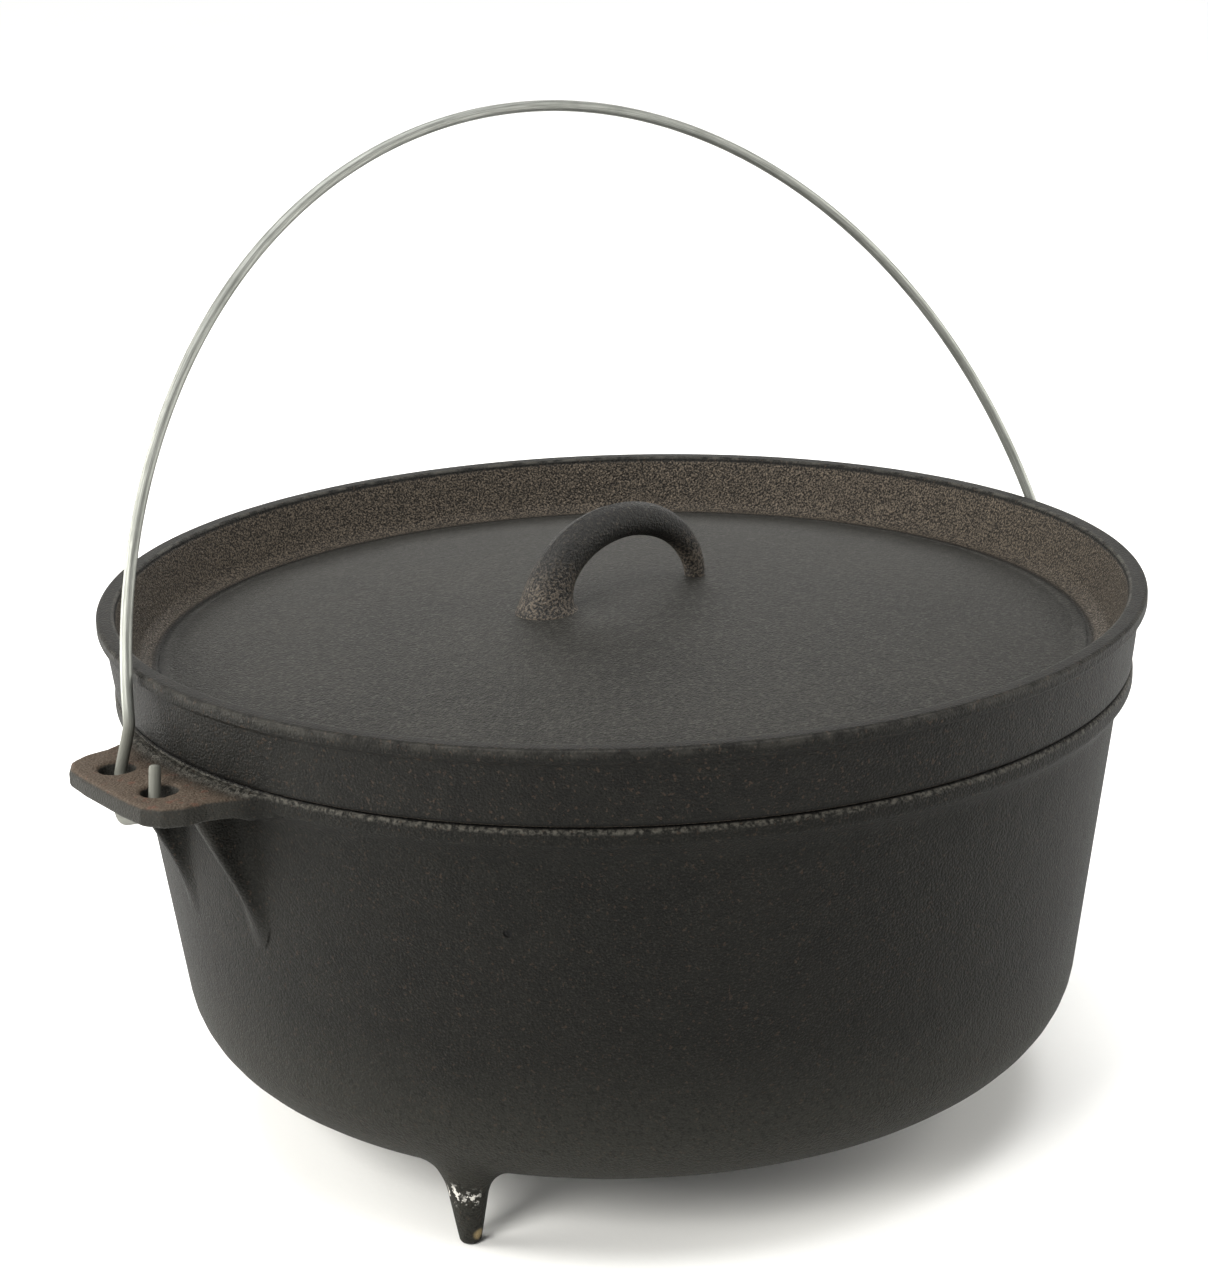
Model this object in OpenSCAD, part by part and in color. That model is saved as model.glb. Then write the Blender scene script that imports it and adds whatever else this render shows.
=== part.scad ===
// Three-legged cast iron camp oven: a tapered pot, a dished lid and a bent wire bail.
// Millimetres. +Z is up, Z = 0 is the ground under the legs, and the two ears lie on X.

/* [Pot] */
// Outside diameter of the band round the rim
pot_d = 361; // [340:1:440]
// Height from the underside of the floor to the rim
pot_h = 139; // [115:1:170]
// Thickness of the wall and the floor
pot_wall = 5; // [4:0.5:6.5]
// Lean of the wall from upright, in degrees
wall_lean = 7.7; // [5:0.1:9.5]
// Outside radius where the wall turns into the floor
floor_round = 32; // [24:1:40]
// Height of the band round the rim
band_h = 7; // [5:0.5:9]
// How far the band stands out from the wall
band_out = 3.4; // [2.4:0.2:4.4]

/* [Legs] */
// Number of legs
leg_count = 3; // [3:1:4]
// Height of the legs below the floor
leg_h = 25; // [18:1:40]
// Diameter of a leg at its foot
leg_foot_d = 7; // [5:0.5:9]
// Diameter of a leg where it meets the floor
leg_root_d = 15; // [12:0.5:18]
// Distance of a leg's middle inside the outline of the floor
leg_inset = 16; // [12:0.5:20]

/* [Ears] */
// Reach of an ear beyond the rim band
ear_reach = 29; // [26:0.5:35]
// Thickness of an ear
ear_t = 7; // [5.5:0.5:8.5]
// Width of an ear along its outer edge
ear_edge_w = 50; // [46:1:60]
// Width of an ear beside its holes
ear_w = 68; // [62:1:80]
// Width of an ear where it meets the rim band
ear_root_w = 84; // [80:1:96]
// Step down from the rim to the top of an ear
ear_drop = 2; // [1:0.5:3]
// Play of the bail's wire in a hole
hole_play = 8; // [7:0.25:9]
// Distance between the middles of the two holes
hole_span = 28.4; // [26.4:0.2:31]
// Distance from an ear's outer edge to the middle of its holes
hole_inset = 13.4; // [11:0.2:15]

/* [Ribs under the ears] */
// Thickness of a rib
rib_t = 6; // [4.5:0.5:7.5]
// Reach of a rib beyond the wall at its top
rib_reach = 14; // [10:0.5:16]
// Height of a rib
rib_h = 40; // [36:1:60]
// Distance between the middles of the two ribs
rib_span = 45; // [40:1:50]

/* [Lid] */
// Height from the pot's rim to the top of the lip
lid_h = 27; // [24:0.5:32]
// How far the lip stands out beyond the rim band
lip_out = 4.5; // [3:0.1:5.4]
// Height of the lip
lip_h = 6; // [4.5:0.5:8]
// Width of the lip's flat top
lip_w = 6; // [4.5:0.5:7.5]
// Step in from the lip to the flange below it
lip_step = 2.5; // [1.5:0.1:3.2]
// Slope of the flange's inner face from upright, in degrees
flange_slope = 22; // [16:1:30]
// Thickness of the lid's plate
plate_t = 6; // [5:0.5:7.5]
// Rise of the plate from its edge to its middle
dome_h = 16; // [10:0.5:20]
// Depth of the ring that centres the lid inside the pot
seat_h = 4; // [3:0.5:5]
// Thickness of that ring
seat_t = 5; // [4:0.5:6]
// Gap between that ring and the pot's wall
seat_gap = 1.6; // [1.2:0.1:2.4]

/* [Lid handle] */
// Thickness of the handle
grip_d = 12.5; // [10:0.5:15]
// Distance between the middles of the handle's feet
grip_span = 70; // [60:1:84]
// Height of the handle's underside above the plate
grip_gap = 19; // [16:0.5:24]
// Diameter of the wide foot
foot_d = 23; // [20:0.5:26]
// Height of the wide foot's flare
foot_h = 11; // [9:0.5:13]

/* [Bail] */
// Diameter of the wire
wire_d = 4; // [3.4:0.1:4.8]
// Height of the arch above the middle of the ears
bail_h = 202.8; // [170:0.1:250]
// How far inside the middle of the holes the arch's widest level lies
arch_in = 1.1; // [0:0.1:1.7]
// How far the arch is bent off the middle of the two hooks, along X
arch_off_x = 1.8; // [0:0.1:2]
// How far the arch is bent off the middle of the two hooks, towards -Y
arch_off_y = 5.7; // [0:0.1:7]
// Drop of the arch's widest level below the middle of the ears
bail_drop = 16; // [12:1:20]
// How much closer together a hook's two limbs are than their holes
hook_pinch = 2; // [1.8:0.1:3]
// Distance of a hook's bottom below the underside of the ear
hook_low = 5.7; // [5.5:0.1:9]
// Bend radius of a hook, on the middle of the wire
hook_bend = 5; // [4:0.5:7]
// Slant of a hook away from the pot, in degrees
hook_slant = 15; // [12:1:16]
// Offset of the hook outward from the middle of the holes
hook_out = 0.6; // [0:0.1:1.2]
// Height of a hook's free end above the top of the ear
stub_h = 4; // [3:0.5:12]
// Height above the ear's top of the bend where the kinked shank turns into the arch
knee_h = 17; // [14:0.5:20]

/* [Hidden] */

iron = [0.20, 0.20, 0.19];
iron_lid = [0.25, 0.24, 0.23];
zinc = [0.66, 0.68, 0.66];

bite = 2;                 // how deep a cast feature is rooted in its neighbour
arc_steps = 10;           // straight steps in a quarter bend of a turned outline
dome_steps = 12;
wire_sides = 16;
arch_steps = 44;          // steps in half the arch
bend_steps = 6;
bore_res = 96;
turn_res = 180;

floor_z = leg_h;
rim_z = floor_z + pot_h;
band_r = pot_d / 2;
wall_rim_r = band_r - band_out;
floor_r = wall_rim_r - pot_h * tan(wall_lean);
cavity_rim_r = wall_rim_r - pot_wall / cos(wall_lean);
leg_r = floor_r - leg_inset;

ear_top_z = rim_z - ear_drop;
ear_mid_z = ear_top_z - ear_t / 2;
ear_end_x = band_r + ear_reach;
hole_x = ear_end_x - hole_inset;
ear_corner_r = 6;
rib_foot_z = ear_top_z - ear_t - rib_h;

lip_r = band_r + lip_out;
lip_top_z = rim_z + lid_h;
lid_foot_r = band_r - 0.5;
flange_foot_r = lip_r - lip_w - (lid_h - plate_t) * tan(flange_slope);
plate_mid_z = rim_z + plate_t + dome_h;
seat_r = cavity_rim_r - seat_gap;
grip_rise = grip_gap + grip_d / 2;
grip_bow_r = (pow(grip_span / 2, 2) + pow(grip_rise, 2)) / (2 * grip_rise);

// The bail leans until its wire meets the edges of its holes, which is sooner in a thick ear
hole_d = wire_d + hole_play;
bail_lean = 17.5 * hole_play / ear_t;
hook_x = hole_x + hook_out;
arch_half = hole_x - arch_in;
hook_span = hole_span - hook_pinch;
hook_depth = ear_t / 2 + hook_low;
stub_top = ear_t / 2 + stub_h;
shank_top = ear_t / 2 + 2.5;
knee_top = ear_t / 2 + knee_h;

// Points along a round bend of radius r about [cx, cy], from angle a to angle b
function bend(cx, cy, r, a, b, steps) =
    [for (i = [0 : steps]) let (t = a + (b - a) * i / steps) [cx + r * cos(t), cy + r * sin(t)]];

// Radius of the pot's outer wall at height z
function wall_r(z) = floor_r + (z - floor_z) * tan(wall_lean);

// Foot of a bowl's outline: a floor, then a round corner of radius r about the pot's own
// corner middle, up to where the leaning wall starts
corner_x = floor_r - floor_round * tan((90 - wall_lean) / 2);
corner_z = floor_z + floor_round;
function bowl_foot(r) = concat(
    [[0, corner_z - r]],
    bend(corner_x, corner_z, r, -90, -wall_lean, arc_steps));

// Outside of the pot, with the band round its rim
module pot_outside() {
    band_foot_z = rim_z - band_h - band_out;
    rotate_extrude($fn = turn_res) polygon(concat(
        bowl_foot(floor_round),
        [[wall_r(band_foot_z), band_foot_z],
         [band_r, rim_z - band_h + 1],
         [band_r, rim_z],
         [0, rim_z]]));
}

module pot_cavity() {
    over = 1;
    rotate_extrude($fn = turn_res) polygon(concat(
        bowl_foot(floor_round - pot_wall),
        [[cavity_rim_r + over * tan(wall_lean), rim_z + over],
         [0, rim_z + over]]));
}

// Leg: a tapered round peg that flares into the floor
module leg() {
    foot_round = 1;
    flare = 3;
    root_z = floor_z + floor_round / 3;
    rotate_extrude($fn = 48) polygon([
        [0, 0],
        [leg_foot_d / 2 - foot_round, 0],
        [leg_foot_d / 2, foot_round],
        [leg_root_d / 2 - 1, floor_z - 5],
        [leg_root_d / 2, floor_z - 1],
        [leg_root_d / 2 + flare, floor_z + 5],
        [leg_root_d / 2 + flare, root_z],
        [0, root_z]]);
}

// Ear plan on the +X side: a straight outer edge, slanted shoulders and a wide root
module ear_plan() {
    shoulder_x = hole_x - 3;
    root_x = band_r - bite;
    c = ear_corner_r;
    half = [
        [root_x - 10, ear_root_w / 2],
        [root_x - 3, ear_root_w / 2 - 1.5],
        [band_r + 4, ear_w / 2 + 2],
        [band_r + 9, ear_w / 2],
        [shoulder_x, ear_w / 2 - 1]];
    corner = bend(ear_end_x - c, ear_edge_w / 2 - c, c, 50, 0, 5);
    upper = concat(half, corner);
    lower = [for (i = [len(upper) - 1 : -1 : 0]) [upper[i][0], -upper[i][1]]];
    polygon(concat(upper, lower));
}

module rib() {
    root_x = wall_r(rib_foot_z) - pot_wall;
    top_z = ear_mid_z;
    rotate([90, 0, 0]) linear_extrude(rib_t, center = true) polygon([
        [root_x, top_z],
        [wall_r(ear_top_z) + rib_reach, top_z],
        [wall_r(ear_top_z) + rib_reach, ear_top_z - ear_t - 1],
        [wall_r(rib_foot_z) + 1, rib_foot_z + 4],
        [wall_r(rib_foot_z) - bite, rib_foot_z - 2],
        [root_x, rib_foot_z]]);
}

module ear() {
    difference() {
        union() {
            translate([0, 0, ear_top_z - ear_t]) linear_extrude(ear_t) ear_plan();
            for (side = [-1, 1]) translate([0, side * rib_span / 2, 0]) rib();
        }
        for (side = [-1, 1])
            translate([hole_x, side * hole_span / 2, ear_top_z - ear_t - 1])
                cylinder(d = hole_d, h = ear_t + 2, $fn = bore_res);
    }
}

module pot() {
    color(iron) difference() {
        union() {
            pot_outside();
            for (turn = [0, 180]) rotate([0, 0, turn]) ear();
            for (i = [0 : leg_count - 1])
                rotate([0, 0, 90 + 360 * i / leg_count]) translate([leg_r, 0, 0]) leg();
        }
        pot_cavity();
    }
}

// Points of a dome that falls by h between its middle and radius r
dome_r = (pow(flange_foot_r, 2) + pow(dome_h, 2)) / (2 * dome_h);
function dome_z(r, top) = top - dome_r + sqrt(pow(dome_r, 2) - pow(r, 2));

// Lid: lip, flange and domed plate turned in one outline, with a ring that drops into the pot
module lid_body() {
    lip_foot_r = lip_r - lip_step;
    rib_out_r = seat_r - seat_h * tan(wall_lean);
    under = plate_mid_z - plate_t;
    rib_in_r = seat_r - seat_t;
    rotate_extrude($fn = turn_res) polygon(concat(
        [for (i = [0 : dome_steps]) let (r = rib_in_r * i / dome_steps) [r, dome_z(r, under)]],
        [[rib_in_r, rim_z - seat_h],
         [rib_out_r, rim_z - seat_h],
         [seat_r, rim_z],
         [lid_foot_r, rim_z],
         [lip_foot_r, lip_top_z - lip_h],
         [lip_r - 0.5, lip_top_z - lip_h + 1.5],
         [lip_r, lip_top_z - 2],
         [lip_r - 1.5, lip_top_z],
         [lip_r - lip_w + 1, lip_top_z],
         [lip_r - lip_w, lip_top_z - 1]],
        [for (i = [dome_steps : -1 : 0]) let (r = flange_foot_r * i / dome_steps)
            [r, dome_z(r, plate_mid_z)]]));
}

// Loop handle: part of a ring whose ends are rooted in the plate, with one wide foot
module grip() {
    root = 2;
    bow_z = plate_mid_z + grip_rise - grip_bow_r;
    reach = acos((plate_mid_z - root - bow_z) / grip_bow_r);
    foot_lean = 90 - reach;
    translate([0, 0, bow_z]) rotate([90, 0, 0]) rotate([0, 0, 90 - reach])
        rotate_extrude(angle = 2 * reach, $fn = turn_res)
            translate([grip_bow_r, 0]) circle(d = grip_d, $fn = 48);
    translate([-grip_span / 2, 0, plate_mid_z - root]) rotate([0, foot_lean, 0])
        cylinder(d1 = foot_d, d2 = grip_d + 1, h = foot_h + root, $fn = 64);
}

module lid() {
    color(iron_lid) {
        lid_body();
        grip();
    }
}

// Bail path, about the middle of the ears and upright. A hook's two limbs lie side by side
// along Y, and the whole hook slants away from the pot towards its bottom.
limb = hook_span / 2;
function hook_point(y, s) = [hook_x - s * sin(hook_slant), y, s * cos(hook_slant)];
function hook_path() = [for (p = concat(
    [[limb, stub_top], [limb, 0]],
    bend(limb - hook_bend, hook_bend - hook_depth, hook_bend, 0, -90, bend_steps),
    bend(hook_bend - limb, hook_bend - hook_depth, hook_bend, -90, -180, bend_steps),
    [[-limb, 0], [-limb, shank_top]])) hook_point(p[0], p[1])];

// The arch is half an ellipse in the upright plane through both knees. It stands off the middle
// of the two hooks by off, and each shank is kinked to meet it.
arch_b = bail_h + bail_drop;
arch_start = asin((knee_top + bail_drop) / arch_b);
function arch_path(off) = [for (i = [0 : arch_steps])
    let (t = arch_start + (90 - arch_start) * i / arch_steps, c = cos(t))
    [arch_half * c + off[0], off[1] - limb * c / cos(arch_start), arch_b * sin(t) - bail_drop]];

function half_path(off) = concat(hook_path(), arch_path(off));
arch_off = [arch_off_x, -arch_off_y];
right_half = half_path(arch_off);
left_half = half_path(-arch_off);
last = len(right_half) - 1;
bail_path = concat(right_half, [for (i = [last - 1 : -1 : 0])
    [-left_half[i][0], -left_half[i][1], left_half[i][2]]]);

// Round tube along a path. Each ring's first spoke is the last one's, turned as little as
// the path's own turn needs.
function unit(v) = v / norm(v);
function heading(path, i) = unit(path[min(i + 1, len(path) - 1)] - path[max(i - 1, 0)]);
function square_to(v, t) = unit(v - (v * t) * t);
module tube(path, r, sides, spoke) {
    n = len(path);
    spokes = [for (i = 0, s = square_to(spoke, heading(path, 0)); i < n;
        i = i + 1, s = i < n ? square_to(s, heading(path, i)) : s) s];
    points = [for (i = [0 : n - 1]) let (t = heading(path, i), u = spokes[i], v = cross(t, u))
        for (k = [0 : sides - 1]) path[i] + r * (cos(360 * k / sides) * u + sin(360 * k / sides) * v)];
    skin = [for (i = [0 : n - 2], k = [0 : sides - 1]) let (q = (k + 1) % sides)
        [i * sides + k, (i + 1) * sides + k, (i + 1) * sides + q, i * sides + q]];
    start = [for (k = [0 : sides - 1]) k];
    end = [for (k = [sides - 1 : -1 : 0]) (n - 1) * sides + k];
    polyhedron(points, concat(skin, [start], [end]));
}

module bail() {
    color(zinc) translate([0, 0, ear_mid_z]) rotate([-bail_lean, 0, 0])
        tube(bail_path, wire_d / 2, wire_sides, [0, 1, 0]);
}

pot();
lid();
bail();
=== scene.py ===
# %% [markdown]
# # A cast iron camp oven
# This lesson builds the looks of a three-legged camp oven round its CAD part: a tapered pot with
# two pierced ears, a dished lid with a loop handle, and a bail of bent galvanised wire. The CAD part
# comes in as a fixed frame, so every piece below is made in that same frame, in metres, and only
# has to be finer and softer than the CAD solid that it stands for.

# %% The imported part
import math

import bpy
import numpy as np
from mathutils import Matrix, Vector


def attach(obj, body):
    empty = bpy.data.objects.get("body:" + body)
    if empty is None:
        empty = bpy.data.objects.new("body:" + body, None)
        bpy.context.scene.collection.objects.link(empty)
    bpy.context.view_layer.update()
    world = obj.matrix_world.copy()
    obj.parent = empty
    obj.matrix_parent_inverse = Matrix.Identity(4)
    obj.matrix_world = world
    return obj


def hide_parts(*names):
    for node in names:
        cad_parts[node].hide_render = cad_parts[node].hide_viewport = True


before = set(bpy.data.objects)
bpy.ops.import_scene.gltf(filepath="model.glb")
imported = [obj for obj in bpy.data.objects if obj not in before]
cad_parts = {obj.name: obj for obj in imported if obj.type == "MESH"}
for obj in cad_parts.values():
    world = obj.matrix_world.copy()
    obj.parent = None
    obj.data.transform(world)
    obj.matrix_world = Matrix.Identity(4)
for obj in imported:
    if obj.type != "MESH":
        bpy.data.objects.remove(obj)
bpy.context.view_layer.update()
MM = 0.001

# %% [markdown]
# ## The camera
# A camera is a place, a direction and a lens. Here the lens is a long one, about 89 mm on a 36 mm
# sensor, from a good metre away, which keeps the lid's ellipse calm. The camera looks down by 17
# degrees from the front left, and is rolled by less than two degrees, so the pot seems to lean.
# A matrix of right, up and back vectors is used because it says all three at once.

# %% Camera
ROW_W, ROW_H = 1208, 1288


def camera_axes(azimuth, elevation, roll):
    """Right, up and back of a camera that stands at that azimuth from -Y and looks down at the middle."""
    a, e = math.radians(azimuth), math.radians(elevation)
    back = Vector((math.sin(a) * math.cos(e), -math.cos(a) * math.cos(e), math.sin(e)))
    level = Vector((math.cos(a), math.sin(a), 0))
    up = back.cross(level)
    c, s = math.cos(math.radians(roll)), math.sin(math.radians(roll))
    return c * level + s * up, c * up - s * level, back


right, up, back = camera_axes(azimuth=-36.35, elevation=17.34, roll=-1.76)
aim = Vector((-5.3, 3.9, 166.3)) * MM
eye = aim + back * 1.0759

lens = bpy.data.cameras.new("camera")
lens.sensor_fit = "HORIZONTAL"
lens.sensor_width = 36
lens.lens = 36 * 3000 / ROW_W
camera = bpy.data.objects.new("camera", lens)
camera.matrix_world = Matrix((
    (right.x, up.x, back.x, eye.x),
    (right.y, up.y, back.y, eye.y),
    (right.z, up.z, back.z, eye.z),
    (0, 0, 0, 1)))
bpy.context.scene.collection.objects.link(camera)
bpy.context.scene.camera = camera
print("camera at, mm:", [round(v / MM) for v in eye])

# %% [markdown]
# ## Small tools for surfaces
# Nearly every piece here is one of two things: an outline turned about an axis, or a round section
# carried along a path. Both are grids of points, rows by columns, so one helper joins any grid
# into four-sided faces, and one puts points and faces into a mesh.

# %% Grids and meshes
def grid_faces(rows, columns):
    """Faces between neighbouring rows; the last column joins the first, so each row is a ring."""
    r, c = np.meshgrid(np.arange(rows - 1), np.arange(columns), indexing="ij")
    n = (c + 1) % columns
    faces = np.stack([r * columns + c, r * columns + n, (r + 1) * columns + n, (r + 1) * columns + c], -1)
    return faces.reshape(-1, 4)


def end_fans(rows, columns, first, last):
    """Triangles from the first row to the point numbered first, and from the last row to last."""
    c = np.arange(columns)
    n = (c + 1) % columns
    start = np.stack([np.full(columns, first), n, c], -1)
    end = np.stack([np.full(columns, last), (rows - 1) * columns + c, (rows - 1) * columns + n], -1)
    return np.vstack([start, end])


def mesh_piece(name, points, faces, triangles=None):
    """A smooth-shaded mesh object at the origin, from points in millimetres."""
    mesh = bpy.data.meshes.new(name)
    every = faces.tolist() + ([] if triangles is None else triangles.tolist())
    mesh.from_pydata((points * MM).tolist(), [], every)
    mesh.polygons.foreach_set("use_smooth", np.ones(len(mesh.polygons), bool))
    mesh.update()
    piece = bpy.data.objects.new(name, mesh)
    bpy.context.scene.collection.objects.link(piece)
    low, high = points.min(0), points.max(0)
    print(name, len(points), "points, box mm", np.round(low, 1), np.round(high, 1))
    return piece


def rounded(corners, steps=6):
    """An outline of r and z through corners of (r, z, radius), each corner replaced by an arc.
    The arc touches both sides at radius * tan(half the turn) from the corner."""
    corner = np.array(corners, float)
    out = [corner[:1, :2]]
    for before, here, after in zip(corner[:-2], corner[1:-1], corner[2:]):
        a, b = before[:2] - here[:2], after[:2] - here[:2]
        a, b = a / np.linalg.norm(a), b / np.linalg.norm(b)
        half = math.acos(np.clip(a @ b, -1, 1)) / 2
        if here[2] == 0 or half > 1.57:
            out.append(here[None, :2])
            continue
        middle = here[:2] + (a + b) / np.linalg.norm(a + b) * here[2] / math.sin(half)
        start = here[:2] + a * here[2] / math.tan(half) - middle
        end = here[:2] + b * here[2] / math.tan(half) - middle
        t = np.linspace(0, 1, steps + 1)[:, None]
        turn = math.pi - 2 * half
        out.append(middle + (start * np.sin((1 - t) * turn) + end * np.sin(t * turn)) / math.sin(turn))
    out.append(corner[-1:, :2])
    return np.vstack(out)


def spaced(outline, step):
    """The same outline with extra points wherever two neighbours are further apart than step."""
    gap = np.linalg.norm(np.diff(outline, axis=0), axis=1)
    parts = np.maximum(np.ceil(gap / step).astype(int), 1)
    start = np.repeat(np.arange(len(gap)), parts)
    share = np.concatenate([np.arange(p) / p for p in parts])[:, None]
    return np.vstack([outline[start] * (1 - share) + outline[start + 1] * share, outline[-1:]])


def turned(name, outline, columns):
    """An outline of r and z, from the axis and back to it, turned once about Z.
    Each point of row i and column j is (r cos a, r sin a, z) with a = 2 pi j / columns."""
    a = 2 * np.pi * np.arange(columns) / columns
    ring = outline[1:-1]
    points = np.stack([
        ring[:, :1] * np.cos(a), ring[:, :1] * np.sin(a), np.repeat(ring[:, 1:], columns, 1)], -1)
    points = points.reshape(-1, 3)
    poles = np.array([[0, 0, outline[0, 1]], [0, 0, outline[-1, 1]]])
    fans = end_fans(len(ring), columns, len(points), len(points) + 1)
    return mesh_piece(name, np.vstack([points, poles]), grid_faces(len(ring), columns), fans)


# %% [markdown]
# ## The pot
# The pot is cast in sand, so its wall leans a little to let the pattern out, and every corner is
# round. It could be modelled as a cylinder and thickened, but a single outline that runs under the
# floor, up the outside, over the rim and down the inside gives the exact wall and a rim of its own
# shape. The rim band stands out from the wall by a soft step.

# %% Pot shell
LEG_H, POT_H, WALL = 25.0, 139.0, 5.0
BAND_R, BAND_OUT, BAND_H = 180.5, 3.4, 7.0
LEAN = math.radians(7.7)
RIM_Z = LEG_H + POT_H
WALL_RIM_R = BAND_R - BAND_OUT
FLOOR_R = WALL_RIM_R - POT_H * math.tan(LEAN)
CORNER = 32.0
CORNER_R = FLOOR_R - CORNER * math.tan((math.pi / 2 - LEAN) / 2)
CORNER_Z = LEG_H + CORNER


def wall_r(z):
    """Radius of the leaning outer wall at height z."""
    return FLOOR_R + (z - LEG_H) * math.tan(LEAN)


inner = WALL_RIM_R - WALL / math.cos(LEAN)
inner_floor_r = inner - (POT_H - WALL) * math.tan(LEAN)
foot = RIM_Z - BAND_H - BAND_OUT
pot_outline = rounded([
    (0, LEG_H, 0),
    (FLOOR_R, LEG_H, CORNER),
    (wall_r(foot), foot, 9),
    (BAND_R, RIM_Z - BAND_H + 1, 3),
    (BAND_R, RIM_Z, 2.0),
    (inner, RIM_Z, 1.3),
    (inner_floor_r, LEG_H + WALL, CORNER - WALL),
    (0, LEG_H + WALL, 0)], steps=10)
pot_shell = turned("pot_shell", spaced(pot_outline, 6), 320)

# %% [markdown]
# ## Cast-on features
# Ears, ribs and legs grow out of the wall with a hollow fillet, which is what makes iron look cast
# and not glued. A fillet between a bent wall and a plate is hard to draw as a grid, so these
# pieces are made another way: each is a field, a rule that gives every point its distance to the
# surface, and fields can be melted together. The skin where the field is zero is then found on
# a fine lattice, and each point is slid along the field's slope until it lies exactly on it.

# %% Fields and their skin
def melt(a, b, k):
    """The nearer of two surfaces, with a fillet about k wide where they meet.
    It takes (k - |a - b|) squared / 4k off the smaller distance inside that width."""
    return np.minimum(a, b) - np.maximum(k - np.abs(a - b), 0) ** 2 / (4 * k)


def carve(a, b, k):
    """What is in a and not in b, with an edge rounded over a width of about k."""
    return -melt(-a, b, k)


def plan_distance(x, y, corners):
    """Distance in plan to a closed outline, negative inside: the nearest of its sides' distances,
    with the sign from how often a line to the right crosses the outline."""
    near, inside = np.full(x.shape, 1e9), np.zeros(x.shape, bool)
    for (ax, ay), (bx, by) in zip(corners, np.roll(corners, -1, 0)):
        t = np.clip(((x - ax) * (bx - ax) + (y - ay) * (by - ay)) / ((bx - ax) ** 2 + (by - ay) ** 2), 0, 1)
        near = np.minimum(near, np.hypot(x - ax - t * (bx - ax), y - ay - t * (by - ay)))
        if ay != by:
            crosses = ((ay > y) != (by > y)) & (x < ax + (y - ay) * (bx - ax) / (by - ay))
            inside ^= crosses
    return np.where(inside, -near, near)


def slab(plan, z, low, high, edge):
    """A plate between two heights with its edges rounded to the radius edge, from its plan distance."""
    a, b = plan + edge, np.abs(z - (low + high) / 2) - (high - low) / 2 + edge
    return np.minimum(np.maximum(a, b), 0) + np.hypot(np.maximum(a, 0), np.maximum(b, 0)) - edge


def skin(field, low, high, cell):
    """The surface where a field is zero, as points and outward four-sided faces.
    Each lattice cell that the surface passes through gets one point, at the mean of the places
    where it cuts the cell's twelve edges, and each cut lattice edge gets a face of its four cells."""
    axes = [np.arange(l, h + cell, cell) for l, h in zip(low, high)]
    lattice = np.stack(np.meshgrid(*axes, indexing="ij"), -1)
    d = field(lattice)
    inside = d < 0
    count = np.array(d.shape) - 1
    total, hits = np.zeros((*count, 3)), np.zeros(count)
    cuts = []
    for axis in range(3):
        head = [slice(None)] * 3
        tail = [slice(None)] * 3
        head[axis], tail[axis] = slice(0, -1), slice(1, None)
        da, db = d[tuple(head)], d[tuple(tail)]
        cut = inside[tuple(head)] != inside[tuple(tail)]
        share = np.where(cut, da / np.where(cut, da - db, 1), 0)[..., None]
        place = lattice[tuple(head)] * (1 - share) + lattice[tuple(tail)] * share
        p, q = [k for k in range(3) if k != axis]
        for i in (0, 1):
            for j in (0, 1):
                side = [slice(None)] * 3
                side[p] = slice(i, i + count[p])
                side[q] = slice(j, j + count[q])
                part = cut[tuple(side)]
                total += np.where(part[..., None], place[tuple(side)], 0)
                hits += part
        cuts.append((axis, cut, inside[tuple(head)]))
    full = hits > 0
    number = np.full(count, -1)
    number[full] = np.arange(full.sum())
    points = total[full] / hits[full][:, None]
    faces = []
    for axis, cut, starts_inside in cuts:
        at = np.argwhere(cut)
        p, q = (axis + 1) % 3, (axis + 2) % 3
        at = at[(at[:, p] > 0) & (at[:, q] > 0) & (at[:, p] < count[p]) & (at[:, q] < count[q])]
        step_p, step_q = np.eye(3, dtype=int)[p], np.eye(3, dtype=int)[q]
        ring = np.stack([number[tuple((at - o).T)] for o in (step_p + step_q, step_q, 0 * step_p, step_p)], 1)
        out = starts_inside[tuple(at.T)]
        faces.append(np.where(out[:, None], ring, ring[:, ::-1]))
    for _ in range(3):
        h = cell * 0.05
        slope = np.stack([field(points + h * e) - field(points - h * e) for e in np.eye(3)], -1) / (2 * h)
        steep = np.maximum((slope ** 2).sum(-1, keepdims=True), 0.25)
        points = points - np.clip(field(points)[:, None] * slope / steep, -cell / 2, cell / 2)
    return points, np.vstack(faces)


def cast_on(name, field, low, high, cell):
    """A piece in the shape of a field, inside the box from low to high."""
    return mesh_piece(name, *skin(field, low, high, cell))


# %% [markdown]
# ## Ears and ribs
# Each ear is a flat plate with slanted shoulders that spreads into the rim band, pierced by two
# wire holes and carried by two thin ribs. All of it is one field: the plate and the ribs are
# melted into the wall, then the holes are carved out with a soft edge. The wall in this field
# lies a twentieth of a millimetre under the real one, so that the piece slips in under the pot's own
# skin where its fillet ends.

# %% Ears
EAR_TOP, EAR_T, EAR_END = RIM_Z - 2.0, 7.0, BAND_R + 29.0
HOLE_X, HOLE_Y, HOLE_R = EAR_END - 13.4, 14.2, 6.0
RIB_Y, RIB_FOOT, RIB_REACH = 22.5, 115.0, 14.0
EAR_PLAN = np.array([
    (168, 42), (178, 40), (184.5, 36), (190, 34), (198, 33.5), (204.5, 30.5), (208.6, 24), (209.5, 12)])
EAR_PLAN = np.vstack([EAR_PLAN, EAR_PLAN[::-1] * (1, -1)])


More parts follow.
